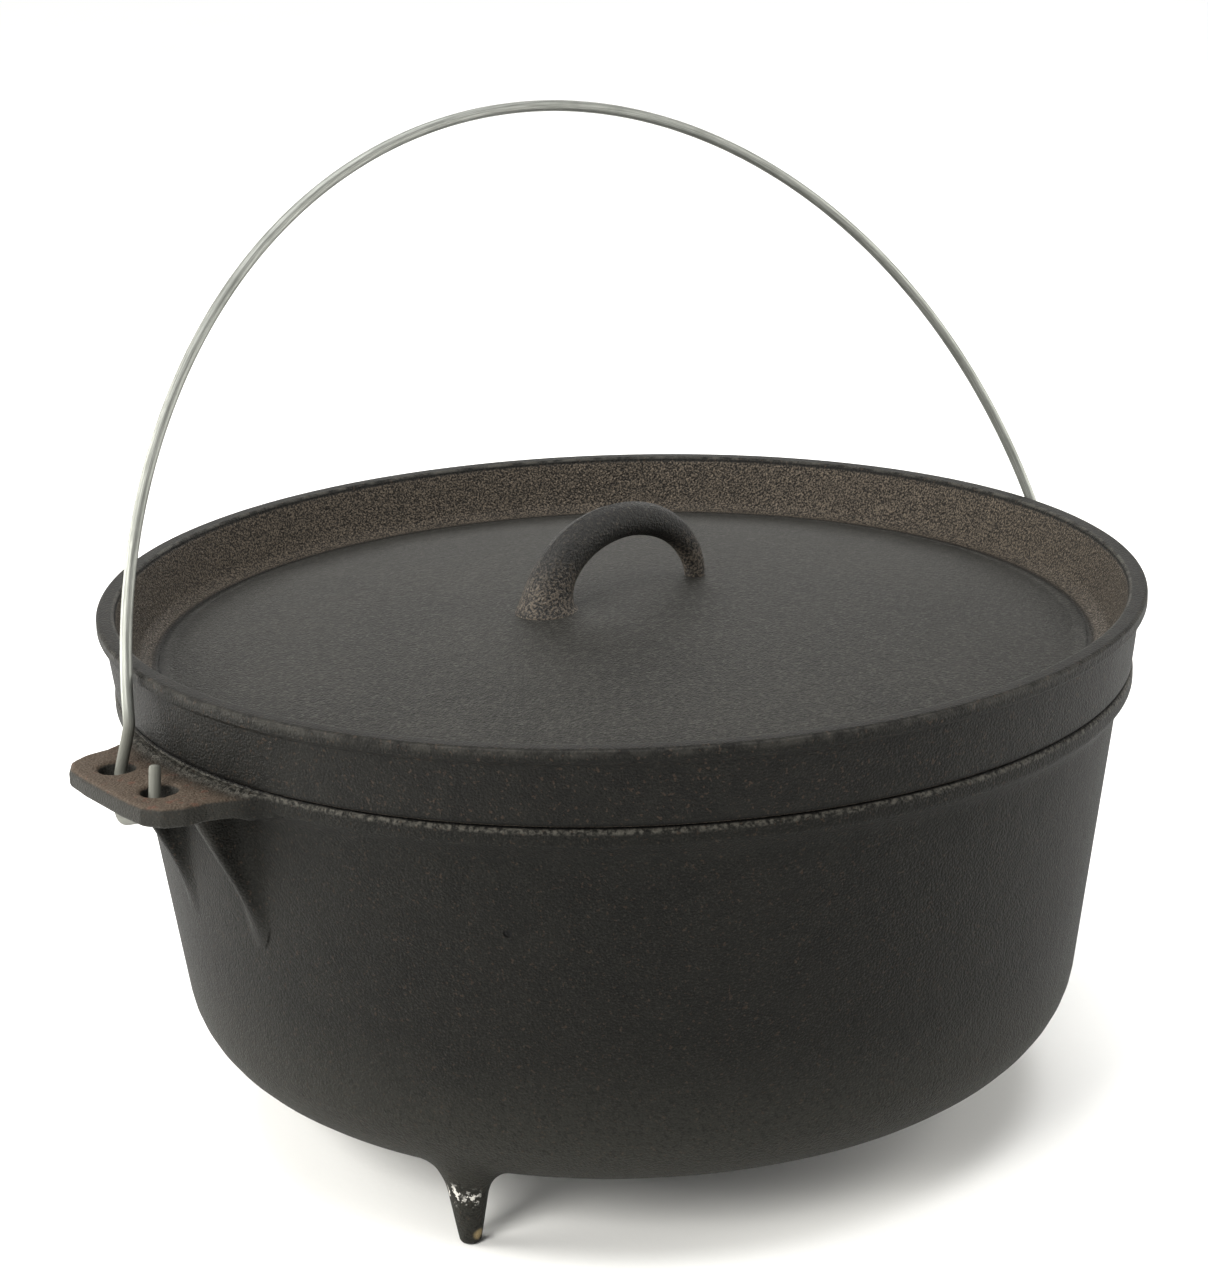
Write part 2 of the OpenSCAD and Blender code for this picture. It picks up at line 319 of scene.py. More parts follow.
def ear_field(p):
    """Distance to the ear on the +X side, with its ribs, fillets and holes."""
    x, y, z = p[..., 0], p[..., 1], p[..., 2]
    r = np.hypot(x, y)
    wall = (r - wall_r(z)) * math.cos(LEAN)
    band = np.maximum(r - BAND_R, RIM_Z - BAND_H - 1 - z)
    wall = melt(wall, band, 4) + 0.05 + 1.2 * np.clip((np.abs(y) - 46) / 8, 0, 1)
    plate = slab(plan_distance(x, y, EAR_PLAN), z, EAR_TOP - EAR_T, EAR_TOP, 2.0)
    top = wall_r(EAR_TOP) + RIB_REACH
    slant = math.atan2(top - wall_r(RIB_FOOT), EAR_TOP - EAR_T - RIB_FOOT)
    front = (x - (wall_r(RIB_FOOT) + (z - RIB_FOOT) * math.tan(slant))) * math.cos(slant)
    thin = np.abs(np.abs(y) - RIB_Y) - (2.0 + 0.02 * np.maximum(z - RIB_FOOT, 0))
    corner = np.hypot(np.maximum(front + 2.2, 0), np.maximum(thin + 2.0, 0)) - 2.2
    rib = np.maximum(np.maximum(corner, front), thin)
    rib = np.maximum(rib, z - EAR_TOP + 2)
    iron = melt(melt(plate, rib, 3.5), wall, 6)
    holes = np.hypot(x - HOLE_X, np.abs(y) - HOLE_Y) - HOLE_R
    iron = carve(iron, holes, 1.6)
    iron = np.maximum(iron, z - EAR_TOP - 1.2)
    return np.maximum(iron, -3 - wall)


ear_right = cast_on("ear_right", ear_field, (168, -58, 92), (210.5, 58, 165), 1.0)
ear_left = cast_on(
    "ear_left", lambda p: ear_field(p * (-1, -1, 1)), (-210.5, -58, 92), (-168, 58, 165), 1.0)

# %% [markdown]
# ## Legs
# A leg is a tapered peg that grows out of the round corner of the floor. It is a cone melted
# into the bowl with a wide fillet, cut off flat at the ground with a worn edge.

# %% Legs
LEG_R = FLOOR_R - 16.0


def leg_field(azimuth):
    """The field of a leg at that azimuth, in degrees."""
    cx, cy = LEG_R * math.cos(math.radians(azimuth)), LEG_R * math.sin(math.radians(azimuth))

    def field(p):
        x, y, z = p[..., 0], p[..., 1], p[..., 2]
        bowl = np.hypot(np.maximum(np.hypot(x, y) - CORNER_R, 0), CORNER_Z - z) - CORNER + 0.05
        out = np.hypot(x - cx, y - cy)
        peg = (out - 3.5 - 0.175 * np.clip(z, 0, LEG_H)) * 0.985
        peg = carve(peg, z, 1.6)
        iron = melt(peg, bowl, 9)
        return np.maximum(np.maximum(iron, -3 - bowl), out - 26)

    return field


legs = []
for leg_name, azimuth in (("leg_back", 90), ("leg_front_left", 210), ("leg_front_right", 330)):
    cx, cy = LEG_R * math.cos(math.radians(azimuth)), LEG_R * math.sin(math.radians(azimuth))
    legs.append(cast_on(leg_name, leg_field(azimuth), (cx - 28, cy - 28, -1), (cx + 28, cy + 28, 52), 0.9))

# %% [markdown]
# ## The lid
# The lid is a shallow dish: a flat-topped lip, a flange that slopes in, and a plate that
# rises a little to its middle. Coals are heaped on it, which is what the flange is for. Like the
# pot, it is one outline turned about Z. Under it, a low ring keeps it centred in the pot.

# %% Lid shell
LIP_R, LIP_TOP = 185.0, RIM_Z + 27.0
SEAT_R = inner - 1.6
PLATE_MID, PLATE_T, DOME_H = 186.0, 6.0, 16.0
FLANGE_FOOT = LIP_R - 6 - 21 * math.tan(math.radians(22))
DOME_R = (FLANGE_FOOT ** 2 + DOME_H ** 2) / (2 * DOME_H)


def dome_z(r, top):
    """Height of the domed plate at radius r: a sphere of radius DOME_R whose pole is at top."""
    return top - DOME_R + np.sqrt(DOME_R ** 2 - np.square(r))


under_r = np.linspace(0, SEAT_R - 5, 30)
over_r = np.linspace(FLANGE_FOOT - 5.6, 0, 32)
under = np.stack([under_r, dome_z(under_r, PLATE_MID - PLATE_T)], 1)
over = np.stack([over_r, dome_z(over_r, PLATE_MID)], 1)
edge_outline = rounded([
    (under[-1, 0], under[-1, 1], 0),
    (SEAT_R - 5, RIM_Z - 4, 1.2),
    (SEAT_R - 0.55, RIM_Z - 4, 1.2),
    (SEAT_R, RIM_Z, 0),
    (BAND_R - 0.5, RIM_Z, 2.0),
    (LIP_R - 2.5, LIP_TOP - 6, 0.8),
    (LIP_R, LIP_TOP - 4.4, 1.0),
    (LIP_R, LIP_TOP, 1.5),
    (LIP_R - 6, LIP_TOP, 1.3),
    (FLANGE_FOOT - 0.4, dome_z(FLANGE_FOOT, PLATE_MID) - 0.9, 6.0),
    (over[0, 0], over[0, 1], 0)], steps=7)
lid_outline = np.vstack([under[:-1], edge_outline, over[1:]])
lid_shell = turned("lid_shell", spaced(lid_outline, 6), 320)

# %% [markdown]
# ## The lid's handle
# The loop handle is a rod that the founder drew by hand: it leaves the plate in a wide foot, thins
# out all the way over the arch and drops into the plate again no thicker than a pencil. A round
# section is carried along that arch, and its radius is the only thing that changes on the way.
# A fine ridge where the two halves of the mould met runs along its outer side.

# %% Handle
GRIP_SPAN, GRIP_RISE = 66.0, 26.5


def grip_surface(rows=150, columns=48):
    """A tube on half an oval: the middle line is (-cos t, sin t) scaled to half the span and the rise.
    Its radius falls evenly from the wide foot to the thin one, plus a flare that dies out along the rod."""
    t = np.linspace(-0.09, math.pi + 0.12, rows)
    run = np.clip(t / math.pi, 0, 1)
    x = -GRIP_SPAN / 2 * np.cos(t) + 0.6
    z = PLATE_MID + GRIP_RISE * np.sin(t) - 0.7
    line = np.stack([x, 0 * t, z], 1)
    ahead = np.gradient(line, axis=0)
    ahead /= np.linalg.norm(ahead, axis=1)[:, None]
    outward = np.stack([-ahead[:, 2], 0 * t, ahead[:, 0]], 1)
    radius = 8.3 - 4.6 * run ** 1.15 + 3.2 * np.exp(-run / 0.055)
    a = 2 * np.pi * np.arange(columns) / columns
    ridge = 0.35 * np.exp(-((a - np.pi / 2) / 0.09) ** 2)
    r = radius[:, None] + ridge * np.clip(6 * run * (1 - run), 0, 1)[:, None]
    side = np.array([0, 1.0, 0])
    points = line[:, None] + r[..., None] * (
        np.cos(a)[None, :, None] * side * 0.96 + np.sin(a)[None, :, None] * outward[:, None])
    return points, rows, columns


grip_points, rows, columns = grip_surface()
ends = np.stack([grip_points[0].mean(0), grip_points[-1].mean(0)])
flat = np.vstack([grip_points.reshape(-1, 3), ends])
flat[:, 2] = np.maximum(flat[:, 2], dome_z(flat[:, 0], PLATE_MID) - 3.5)
lid_handle = mesh_piece(
    "lid_handle", flat, grid_faces(rows, columns),
    end_fans(rows, columns, rows * columns, rows * columns + 1))

# %% [markdown]
# ## The bail
# The bail is one length of 4 mm wire. Each end goes down through one hole of its ear, along
# under the ear and up through the other hole, where it is cut off. That is a path: two hooks and
# half an oval between them, which stands off the hooks' middle a little, so that both shanks are
# kinked just above the ears. The path is drawn with straight pieces and arcs, and is then smoothed
# over a few millimetres, as a wire bends, before the round section is carried along it.

# %% Bail
WIRE_R, HOOK_HALF, SLANT = 2.0, 13.2, math.radians(15)
HOOK_X, EAR_MID = HOLE_X + 0.6, EAR_TOP - EAR_T / 2
HOOK_DEPTH, HOOK_BEND = 9.2, 5.0
ARCH_A, ARCH_B, ARCH_DROP, BAIL_LEAN = 195.0, 218.8, 16.0, math.radians(20)
ARCH_OFF, STUB, SHANK, KNEE = np.array([1.8, -5.7]), 7.5, 6.0, 20.5


def arc(cy, cs, start, stop):
    """Points on a bend of the hook about (cy, cs), from one angle to another, in degrees."""
    t = np.radians(np.linspace(start, stop, 12))
    return np.stack([cy + HOOK_BEND * np.cos(t), cs + HOOK_BEND * np.sin(t)], 1)


def hook_place(ys):
    """Where a point of the hook's own plane, (y, s), lies: s runs up and, by the slant, towards the pot."""
    y, s = ys[:, 0], ys[:, 1]
    return np.stack([HOOK_X - s * math.sin(SLANT), y, s * math.cos(SLANT)], 1)


def half_bail(off):
    """Hook and half the arch on the +X side: x = A cos t, z = B sin t - drop, set off by off."""
    bend = HOOK_HALF - HOOK_BEND
    hook = hook_place(np.vstack([
        [(HOOK_HALF, STUB)], arc(bend, HOOK_BEND - HOOK_DEPTH, 0, -90),
        arc(-bend, HOOK_BEND - HOOK_DEPTH, -90, -180), [(-HOOK_HALF, SHANK)]]))
    t0 = math.asin((KNEE + ARCH_DROP) / ARCH_B)
    t = np.linspace(t0, math.pi / 2, 160)
    c = np.cos(t)
    arch = np.stack([
        ARCH_A * c + off[0], off[1] - HOOK_HALF * c / math.cos(t0), ARCH_B * np.sin(t) - ARCH_DROP], 1)
    return np.vstack([hook, arch])


def bail_line(step=1.2):
    """The wire's middle line from end to end, and how far along each point is. The -X half is the
    +X half turned half round, with the arch set off the other way, so both meet at the top."""
    whole = np.vstack([half_bail(ARCH_OFF), half_bail(-ARCH_OFF)[-2::-1] * (-1, -1, 1)])
    far = np.concatenate([[0], np.cumsum(np.linalg.norm(np.diff(whole, axis=0), axis=1))])
    fine = np.arange(0, far[-1], 0.3)
    line = np.stack([np.interp(fine, far, whole[:, k]) for k in range(3)], 1)
    kernel = np.exp(-0.5 * (np.arange(-24, 25) * 0.3 / 1.5) ** 2)
    kernel /= kernel.sum()
    first = line[0] + (line[0] - line[1]) * np.arange(24, 0, -1)[:, None]
    final = line[-1] + (line[-1] - line[-2]) * np.arange(1, 25)[:, None]
    padded = np.vstack([first, line, final])
    line = np.stack([np.convolve(padded[:, k], kernel, "valid") for k in range(3)], 1)
    keep = np.unique(np.append(np.arange(0, len(line), round(step / 0.3)), len(line) - 1))
    return line[keep], fine[keep]


def bail_surface(columns=24):
    """Circles square to the wire. The first spoke of each is square to the wire and to a guide that
    swings from the hook's own plane to the arch's plane along the straight shank between them."""
    line, far = bail_line()
    ahead = np.gradient(line, axis=0)
    ahead /= np.linalg.norm(ahead, axis=1)[:, None]
    from_end = np.minimum(far, far[-1] - far)
    swing = np.clip((from_end - 50) / 14, 0, 1)[:, None]
    swing = swing * swing * (3 - 2 * swing)
    side = np.sign(line[:, :1] + 1e-9)
    hook_guide = side * np.array([math.cos(SLANT), 0, 0]) + np.array([0, 0, math.sin(SLANT)])
    hook_guide = hook_guide * side
    guide = hook_guide * (1 - swing) + np.array([0, 1.0, 0]) * swing
    spoke = guide - (guide * ahead).sum(1)[:, None] * ahead
    spoke /= np.linalg.norm(spoke, axis=1)[:, None]
    other = np.cross(ahead, spoke)
    tip = np.array([0.25, 0.6, 0.85, 0.97])
    size = np.ones(len(line))
    size[:4], size[-4:] = tip, tip[::-1]
    line = line.copy()
    line[:4] = line[4] - ahead[4] * np.array([2.4, 2.3, 2.0, 1.4])[:, None] - ahead[4] * 1.2
    line[-4:] = line[-5] + ahead[-5] * np.array([1.4, 2.0, 2.3, 2.4])[:, None] + ahead[-5] * 1.2
    a = 2 * np.pi * np.arange(columns) / columns
    ring = np.cos(a)[None, :, None] * spoke[:, None] + np.sin(a)[None, :, None] * other[:, None]
    points = line[:, None] + WIRE_R * size[:, None, None] * ring
    return points, far


def leaned(points):
    """Points turned about the ears' axis so that the top leans towards +Y, then lifted to the ears."""
    c, s = math.cos(BAIL_LEAN), math.sin(BAIL_LEAN)
    y, z = points[..., 1], points[..., 2]
    return np.stack([points[..., 0], y * c + z * s, z * c - y * s + EAR_MID], -1)


bail_points, along = bail_surface()
rows, columns = bail_points.shape[:2]
ends = np.stack([bail_points[0].mean(0), bail_points[-1].mean(0)])
bail_faces = grid_faces(rows, columns)
bail_wire = mesh_piece(
    "bail_wire", leaned(np.vstack([bail_points.reshape(-1, 3), ends])), bail_faces,
    end_fans(rows, columns, rows * columns, rows * columns + 1))

# %% [markdown]
# Drawn wire carries fine lines along its length. For those the material has to know how far
# along and how far round each point is, so the bail gets a UV map: U is metres along, V goes round.

# %% The bail's UV map
corner_row = bail_faces // columns
corner_col = np.stack([np.arange(columns)] * (rows - 1)).reshape(-1, 1) + np.array([0, 1, 1, 0])
uv = np.stack([along[corner_row] * MM, corner_col / columns], -1).reshape(-1, 2)
fan_uv = np.zeros((2 * columns * 3, 2))
fan_uv[columns * 3:, 0] = along[-1] * MM
layer = bail_wire.data.uv_layers.new(name="wire")
layer.data.foreach_set("uv", np.vstack([uv, fan_uv]).astype(np.float32).ravel())
print("wire length, mm:", round(float(along[-1])))

# %% [markdown]
# ## Sums on sockets
# A material is a tree of nodes, and writing each Math node by hand hides what is being worked out.
# This class wraps one output, so that 0.4 + 0.2 * grain adds the nodes by itself. Any other node
# comes from add(), which takes its type, its settings and the values or links of its sockets.

# %% Socket class
class Sock:
    """One output of a shader node, which can be used in sums."""

    def __init__(self, tree, socket=None):
        self.tree, self.socket = tree, socket

    def add(self, kind, settings=None, values=None, out=0):
        node = self.tree.nodes.new("ShaderNode" + kind)
        for key, setting in (settings or {}).items():
            if key == "stops":
                ramp = node.color_ramp.elements
                while len(ramp) < len(setting):
                    ramp.new(1)
                for stop, (place, colour) in zip(ramp, setting):
                    stop.position, stop.color = place, (*colour, 1)
            else:
                setattr(node, key, setting)
        for key, value in (values or {}).items():
            entry = node.inputs[key] if isinstance(key, int) else next(
                s for s in node.inputs if key in (s.identifier, s.name))
            if isinstance(value, Sock):
                self.tree.links.new(value.socket, entry)
            else:
                entry.default_value = value
        outlet = node.outputs[out] if isinstance(out, int) else next(
            s for s in node.outputs if out in (s.identifier, s.name))
        return Sock(self.tree, outlet)

    def sum(self, operation, first, second=0.0, third=0.0):
        return self.add("Math", {"operation": operation}, {0: first, 1: second, 2: third})

    def __add__(self, other):
        return self.sum("ADD", self, other)

    __radd__ = __add__

    def __sub__(self, other):
        return self.sum("SUBTRACT", self, other)

    def __rsub__(self, other):
        return self.sum("SUBTRACT", other, self)

    def __mul__(self, other):
        return self.sum("MULTIPLY", self, other)

    __rmul__ = __mul__

    def __truediv__(self, other):
        return self.sum("DIVIDE", self, other)

    def __pow__(self, other):
        return self.sum("POWER", self, other)

    def most(self, other):
        return self.sum("MAXIMUM", self, other)

    def between(self, low, high):
        """0 below low, 1 above high and a soft rise between; low may be the larger."""
        if low > high:
            return 1 - self.between(high, low)
        return self.add(
            "MapRange", {"interpolation_type": "SMOOTHSTEP"},
            {"Value": self, "From Min": low, "From Max": high, "To Min": 0.0, "To Max": 1.0})


def noise(at, size, detail=2.0, rough=0.55, stretch=None):
    """Cloudy noise whose lumps are about size millimetres across, from 0 to 1 about 0.5."""
    if stretch is not None:
        at = at.add("VectorMath", {"operation": "MULTIPLY"}, {0: at, 1: stretch}, out=0)
    return at.add("TexNoise", {"noise_dimensions": "3D"}, {
        "Vector": at, "Scale": 1 / (size * MM), "Detail": detail, "Roughness": rough})


def grains(at, size, out="Distance"):
    """Cells about size millimetres across, as grains of moulding sand lie side by side."""
    return at.add("TexVoronoi", {"feature": "F1"}, {
        "Vector": at, "Scale": 1 / (size * MM), "Randomness": 1.0}, out=out)


def blend_colours(factor, a, b, mode="MIX"):
    """Colour a where factor is 0 and b where it is 1."""
    values = {"Factor_Float": factor}
    for key, colour in (("A_Color", a), ("B_Color", b)):
        values[key] = colour if isinstance(colour, Sock) else (*colour, 1)
    return factor.add("Mix", {"data_type": "RGBA", "blend_type": mode}, values, out="Result_Color")


def near(at, place, low, high):
    """1 close to a place given in millimetres, falling to 0 between low and high millimetres."""
    gap = at.add("VectorMath", {"operation": "DISTANCE"}, {
        0: at, 1: tuple(v * MM for v in place)}, out="Value")
    return gap.between(high * MM, low * MM)


def new_finish(name):
    """An empty node material, its surface socket and a Sock that stands for its object coordinates."""
    material = bpy.data.materials.new(name)
    material.use_nodes = True
    tree = material.node_tree
    tree.nodes.clear()
    surface = tree.nodes.new("ShaderNodeOutputMaterial").inputs["Surface"]
    return material, surface, Sock(tree).add("TexCoord", out="Object")


def finish_with(at, surface, colour, rough, bump, depth, fixed=None, **varied):
    """A Principled surface: colour, roughness and bump change over it, fixed values are its own."""
    relief = at.add("Bump", values={"Height": bump, "Distance": depth * MM, "Strength": 1.0}, out="Normal")
    values = {"Base Color": colour, "Roughness": rough, "Normal": relief}
    values.update(varied)
    values.update(fixed or {})
    at.tree.links.new(at.add("BsdfPrincipled", values=values).socket, surface)


# %% [markdown]
# ## Seasoned iron on the pot
# Cast iron keeps the grain of the sand it was poured in: a skin of lumps well under
# a millimetre across. Seasoning oil fills it and turns it a warm black, with a dull sheen. Pot,
# ears and legs share this one finish, because all of them read the same object coordinates, so the
# grain runs on from piece to piece. The ears are bare in places and have a little rust.

# %% Pot iron
def pot_iron():
    material, surface, at = new_finish("pot_iron")
    split = at.add("SeparateXYZ", values={0: at}, out="X")
    x, y, z = (Sock(at.tree, split.socket.node.outputs[k]) for k in ("X", "Y", "Z"))
    r = (x * x + y * y) ** 0.5

    sand = grains(at, 0.9)
    fine = noise(at, 0.7, 3.0)
    lumps = noise(at, 9.0, 3.0)
    cloud = noise(at, 60.0, 3.0)
    # painted floor light: the wall is painted lighter towards the bottom, standing in for the white floor's
    # bounce and reflection
    low = z.between(88.0 * MM, 28.0 * MM)
    ear = r.between(182.0 * MM, 190.0 * MM)
    ear_top = ear * z.between(160.8 * MM, 161.7 * MM)
    rim_edge = z.between(161.6 * MM, 162.8 * MM) * r.between(178.6 * MM, 179.8 * MM)
    # painted shade: the pot's rim top is painted near black along the groove under the lid's edge
    seam_shade = z.between(163.4 * MM, 163.9 * MM) * (1 - ear)

    colour = blend_colours(lumps.between(0.3, 0.7), (0.0030, 0.0030, 0.0023), (0.0052, 0.0050, 0.0040))
    colour = blend_colours(cloud.between(0.35, 0.7) * 0.5, colour, (0.0072, 0.0069, 0.0056))
    colour = blend_colours(low * 0.75, colour, (0.026, 0.0255, 0.0215))
    speck = fine.between(0.50, 0.68)
    colour = blend_colours(speck * 0.30, colour, (0.034, 0.033, 0.028))
    dots = noise(at, 1.3, 1.0).between(0.64, 0.72)
    colour = blend_colours(dots * 0.35, colour, (0.050, 0.033, 0.022))
    colour = blend_colours(noise(at, 1.4, 2.0).between(0.50, 0.36) * 0.45, colour, (0.003, 0.0029, 0.0024))
    brown = blend_colours(fine.between(0.3, 0.7), (0.052, 0.036, 0.026), (0.100, 0.078, 0.058))
    colour = blend_colours(ear_top * 0.75, colour, brown)
    colour = blend_colours((ear - ear_top) * 0.40, colour, (0.040, 0.0385, 0.034))
    red = noise(at, 3.5, 3.0).between(0.58, 0.70) * ear_top
    colour = blend_colours(red * 0.5, colour, (0.10, 0.042, 0.028))
    # partly wear and partly a painted highlight: the rim band's top edge just under the seam is painted lighter
    # in patches
    rim_wear_and_highlight = noise(at, 1.6, 4.0, 0.7).between(0.40, 0.62)
    colour = blend_colours(rim_edge * (1 - ear) * rim_wear_and_highlight * 0.6, colour, (0.085, 0.080, 0.068))
    colour = blend_colours(seam_shade, colour, (0.002, 0.002, 0.002))

    tip = (-123.2, -71.2)
    flecks = near(at, (tip[0] - 6.5, tip[1] - 2.0, 20.0), 2.0, 5.5) * noise(at, 2.2, 2.0).between(0.56, 0.62)
    streak = near(at, (tip[0] - 3.0, tip[1] - 6.6, 19.0), 1.2, 4.5) * noise(at, 1.7, 2.0).between(0.53, 0.60)
    colour = blend_colours(flecks.most(streak) * 0.9, colour, (0.62, 0.60, 0.56))
    ochre = near(at, (tip[0] + 0.5, tip[1] - 4.3, 4.0), 1.0, 2.6)
    colour = blend_colours(ochre * 0.8, colour, (0.30, 0.23, 0.12))

    # a casting pit: its depth is only bump, and its near-black colour is painted shade inside it
    pore = near(at, (-130.7, -111.6, 125.7), 0.8, 1.6)
    colour = blend_colours(pore, colour, (0.002, 0.002, 0.002))
    halo = near(at, (-130.6, -111.5, 124.0), 0.8, 1.9)
    height = fine * 0.9 + (1 - sand) * 0.7 + lumps * 1.2 - pore * 3.5 + halo * 0.6

    rough = 0.40 + 0.34 * fine + 0.10 * cloud - speck * 0.10 + ear_top * 0.10
    finish_with(
        at, surface, colour, rough, height, 0.42, {"Specular IOR Level": 0.10}, Metallic=speck * 0.12)
    return material


# %% [markdown]
# ## The lid's iron
# The lid is one casting with three different skins. Its plate is the smoothest, the sloping flange is
# coarse and glints brown where the grains have been polished, and the lip's edges are painted lighter,
# partly as wear and partly as painted highlight. Zones are told apart by radius and height, which are sums on
# object coordinates.

# %% Lid iron
def lid_iron():
    material, surface, at = new_finish("lid_iron")
    split = at.add("SeparateXYZ", values={0: at}, out="X")
    x, y, z = (Sock(at.tree, split.socket.node.outputs[k]) for k in ("X", "Y", "Z"))
    r = (x * x + y * y) ** 0.5

    plate = r.between(166.4 * MM, 165.2 * MM)
    outside = r.between(179.2 * MM, 180.0 * MM)
    flange = (1 - plate) * (1 - outside)
    fine = noise(at, 0.7, 3.0)
    coarse = noise(at, 1.1, 2.0, 0.7)
    sand = grains(at, 0.9)
    lumps = noise(at, 8.0, 3.0)
    cloud = noise(at, 45.0, 3.0)

    colour = blend_colours(lumps.between(0.3, 0.7), (0.0028, 0.0027, 0.0021), (0.0050, 0.0048, 0.0038))
    speck = fine.between(0.50, 0.68)
    colour = blend_colours(speck * 0.28, colour, (0.034, 0.032, 0.027))
    dots = noise(at, 1.3, 1.0).between(0.63, 0.71)
    colour = blend_colours(dots * 0.38, colour, (0.056, 0.037, 0.025))
    plain = blend_colours(cloud.between(0.3, 0.7), (0.012, 0.0116, 0.0100), (0.019, 0.0184, 0.0162))
    grain = noise(at, 1.5, 3.0, 0.7)
    plain = blend_colours(grain.between(0.50, 0.64) * 0.55, plain, (0.052, 0.0495, 0.044))
    plain = blend_colours(grain.between(0.48, 0.36) * 0.50, plain, (0.006, 0.0058, 0.0050))
    colour = blend_colours(plate, colour, plain)
    brown = blend_colours(fine.between(0.40, 0.66), (0.008, 0.0066, 0.0052), (0.105, 0.086, 0.066))
    inside = flange * z.between(189.6 * MM, 188.6 * MM)
    colour = blend_colours(inside * 0.9, colour, brown)
    glint = fine.between(0.50, 0.66) * inside

    top_edge = z.between(189.9 * MM, 190.7 * MM)
    lip_edges = (r.between(184.2 * MM, 184.8 * MM) + r.between(180.0 * MM, 179.2 * MM)) * top_edge
    outer = r.between(183.6 * MM, 184.7 * MM) * z.between(187.6 * MM, 189.6 * MM)
    # painted shade: the lid's lower outer edge is painted near black where it sits in the groove on the pot's rim
    foot = z.between(166.0 * MM, 165.0 * MM) * outside
    # partly wear and partly a painted highlight: the lip's top edges and outer face are painted lighter in
    # patches
    lip_wear_and_highlight = lip_edges.most(outer * 0.4) * noise(at, 6.0, 4.0, 0.7).between(0.36, 0.62)
    colour = blend_colours(lip_wear_and_highlight * 0.40, colour, (0.10, 0.095, 0.082))
    colour = blend_colours(foot * 0.85, colour, (0.002, 0.002, 0.0018))
    # painted shade: a dark ring where the sloping flange meets the plate
    groove_shade = r.between(164.2 * MM, 165.2 * MM) * r.between(167.6 * MM, 166.4 * MM)
    colour = blend_colours(groove_shade * 0.75, colour, (0.004, 0.0035, 0.003))

    calm = 1 - 0.5 * top_edge
    height = (fine * 0.9 + (1 - sand) * 0.7 + lumps * 1.0) * calm + coarse * inside * 1.2
    rough = 0.42 + 0.28 * fine + 0.10 * cloud - glint * 0.16 - speck * 0.06
    finish_with(
        at, surface, colour, rough, height, 0.42, {"Specular IOR Level": 0.12},
        Metallic=(glint * 0.8).most(speck * 0.15))
    return material


# %% [markdown]
# ## The handle's iron
# The handle was never smoothed. Its grain is the coarsest of all, and hands have polished the tops of
# the grains, so it glitters. Grains with their own random height give that: each one
# catches the light by itself.

# %% Handle iron
def handle_iron():
    material, surface, at = new_finish("handle_iron")
    coarse = noise(at, 0.95, 3.0, 0.7)
    cell = grains(at, 0.8)
    lumps = noise(at, 6.0, 3.0)
    glint = coarse.between(0.55, 0.68)
    split = at.add("SeparateXYZ", values={0: at}, out="Z")
    # painted light: the handle is painted a lighter brown low down near its feet, leaving its top darker
    painted_foot_light = split.between(207.0 * MM, 191.0 * MM)
    colour = blend_colours(coarse.between(0.36, 0.60), (0.0022, 0.0020, 0.0017), (0.009, 0.0084, 0.0072))
    colour = blend_colours(glint * 0.35, colour, (0.12, 0.100, 0.080))
    colour = blend_colours(painted_foot_light * coarse.between(0.44, 0.60) * 0.65, colour, (0.13, 0.105, 0.080))
    height = coarse * 2.0 + (1 - cell) * 0.8 + lumps * 0.8
    rough = 0.52 - glint * 0.16 + 0.1 * lumps
    finish_with(
        at, surface, colour, rough, height, 0.35, {"Specular IOR Level": 0.3}, Metallic=glint * 0.4)
    return material


# %% [markdown]
# ## Galvanised wire
# Zinc goes on in a thin pale coat that dulls to grey. On drawn wire it shows long streaks and
# small patches. The streaks are noise on the UV map, pulled out along the wire.

# %% Wire zinc
def wire_zinc():
    material, surface, at = new_finish("wire_zinc")
    wire = at.add("TexCoord", out="UV")
    streaks = noise(wire, 1.0, 3.0, 0.6, stretch=(0.06, 0.05, 0.0))
    patches = noise(at, 14.0, 3.0)
    fine = noise(at, 1.2, 2.0)
    colour = blend_colours(streaks.between(0.35, 0.65), (0.16, 0.165, 0.15), (0.31, 0.318, 0.295))
    colour = blend_colours(patches.between(0.5, 0.72) * 0.5, colour, (0.14, 0.145, 0.13))
    height_up = at.add("SeparateXYZ", values={0: at}, out="Z")
    # partly oily grime and partly painted shade: the wire is darker and duller low down, on the hooks and shanks
    # by the ears and under them
    oil_and_painted_shade = height_up.between(184.0 * MM, 172.0 * MM)
    colour = blend_colours(oil_and_painted_shade * 0.85, colour, (0.072, 0.072, 0.058))
    rough = 0.36 + 0.16 * streaks + 0.10 * patches + 0.15 * oil_and_painted_shade
    height = streaks * 0.8 + fine * 0.5
    finish_with(at, surface, colour, rough, height, 0.05, Metallic=(0.55 + 0.35 * streaks) * (1 - 0.6 * oil_and_painted_shade))
    return material


# %% [markdown]
# ## Who wears what, and what it rides on
# Each piece gets its finish and rides on a CAD body so that it moves with the joints. The shell
# of the pot stands for the CAD pot, and so on.

# %% Finishes and bodies
def place(piece, body, material, slot, stands_for=None):
    piece.data.materials.append(material)
    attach(piece, body)
    if stands_for:
        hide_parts(stands_for)


iron = pot_iron()
place(pot_shell, "pot", iron, "pot_iron", "pot")
for piece in (ear_left, ear_right, *legs):
    place(piece, "pot", iron, "pot_iron")
place(lid_shell, "lid", lid_iron(), "lid_iron", "lid")
place(lid_handle, "lid", handle_iron(), "lid_iron")
place(bail_wire, "bail", wire_zinc(), "bail_wire", "bail")

# %% [markdown]
# ## Floor and light
# A plain pale floor that runs far past the view needs no backdrop. The light is all soft: two
# tall panels left and right rim the round wall and leave its middle dark, and one above the back
# draws the flange and the plate. A dim pale world fills the rest.

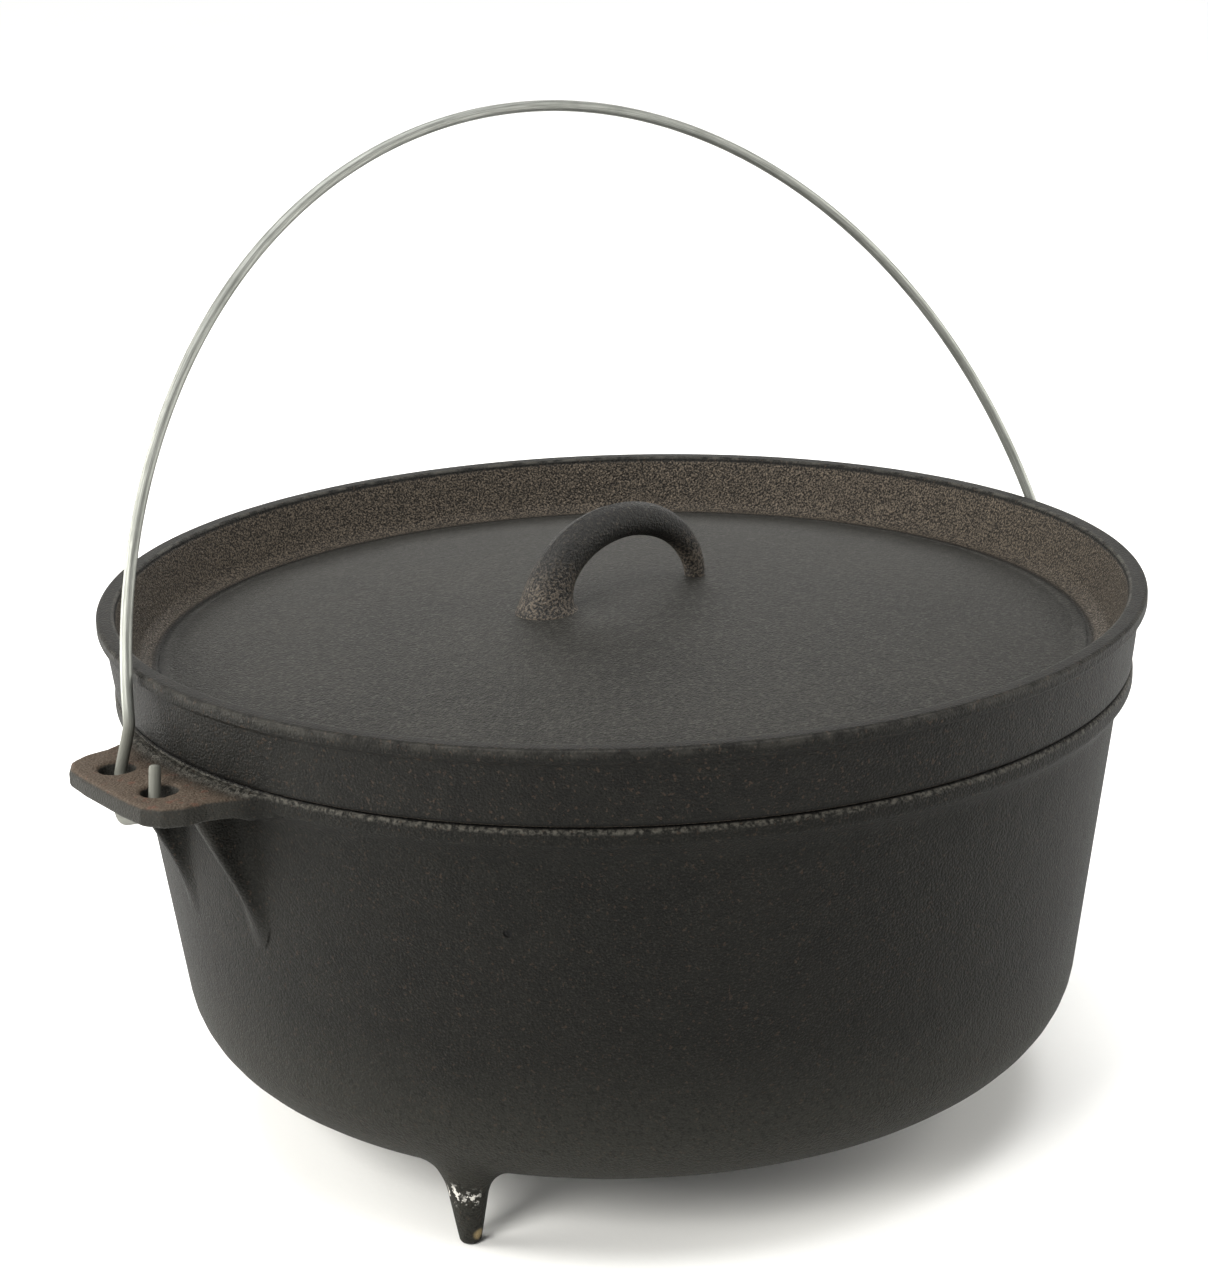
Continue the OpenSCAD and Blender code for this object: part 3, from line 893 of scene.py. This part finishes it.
# %% Floor
def pale_floor():
    half = 20.0
    mesh = bpy.data.meshes.new("floor")
    mesh.from_pydata([(-half, -half, 0), (half, -half, 0), (half, half, 0), (-half, half, 0)], [], [(0, 1, 2, 3)])
    floor = bpy.data.objects.new("floor", mesh)
    bpy.context.scene.collection.objects.link(floor)
    material, surface, at = new_finish("floor_paint")
    soft = noise(at, 400.0, 3.0)
    colour = blend_colours(soft, (0.86, 0.86, 0.85), (0.90, 0.90, 0.89))
    finish_with(at, surface, colour, 0.75 + 0.1 * soft, noise(at, 3.0, 2.0), 0.05)
    mesh.materials.append(material)


pale_floor()


# %% Lights
def panel(name, place_mm, aim_mm, width, height, watts):
    """A soft rectangular light at a place, facing another; sizes in metres."""
    lamp = bpy.data.lights.new(name, "AREA")
    lamp.shape, lamp.size, lamp.size_y, lamp.energy = "RECTANGLE", width, height, watts
    lamp.color = (1.0, 0.985, 0.94)
    light = bpy.data.objects.new(name, lamp)
    spot = Vector(place_mm) * MM
    light.location = spot
    light.rotation_mode = "QUATERNION"
    light.rotation_quaternion = (spot - Vector(aim_mm) * MM).to_track_quat("Z", "Y")
    bpy.context.scene.collection.objects.link(light)


def beside(sideways, towards, height):
    """A place in millimetres, by how far right of, in front of and above the pot the camera sees it."""
    ahead = Vector((back.x, back.y, 0)).normalized()
    across = Vector((right.x, right.y, 0)).normalized()
    place_mm = across * sideways + ahead * towards
    return place_mm.x, place_mm.y, height


def sky(name, direction, strength, softness):
    """Light from far away, the same all over the floor; softness is its angle in degrees."""
    lamp = bpy.data.lights.new(name, "SUN")
    lamp.energy, lamp.angle = strength, math.radians(softness)
    light = bpy.data.objects.new(name, lamp)
    light.rotation_mode = "QUATERNION"
    light.rotation_quaternion = Vector(direction).to_track_quat("Z", "Y")
    bpy.context.scene.collection.objects.link(light)


middle = (0, 0, 130)
sky("overhead", (0, 0, 1), 3.0, 50)
panel("left_panel", beside(-1500, -150, 500), middle, 0.9, 1.6, 42)
panel("right_panel", beside(1500, -150, 500), middle, 0.9, 1.6, 26)
panel("back_panel", beside(0, -2600, 1250), middle, 3.2, 1.0, 34)
panel("front_panel", beside(-900, 1300, 1050), (0, 0, 190), 0.7, 0.7, 30)

world = bpy.data.worlds.new("studio")
bpy.context.scene.world = world
world.use_nodes = True
world.node_tree.nodes["Background"].inputs["Color"].default_value = (1, 1, 1, 1)
world.node_tree.nodes["Background"].inputs["Strength"].default_value = 0.22
bpy.context.scene.view_settings.view_transform = "Standard"
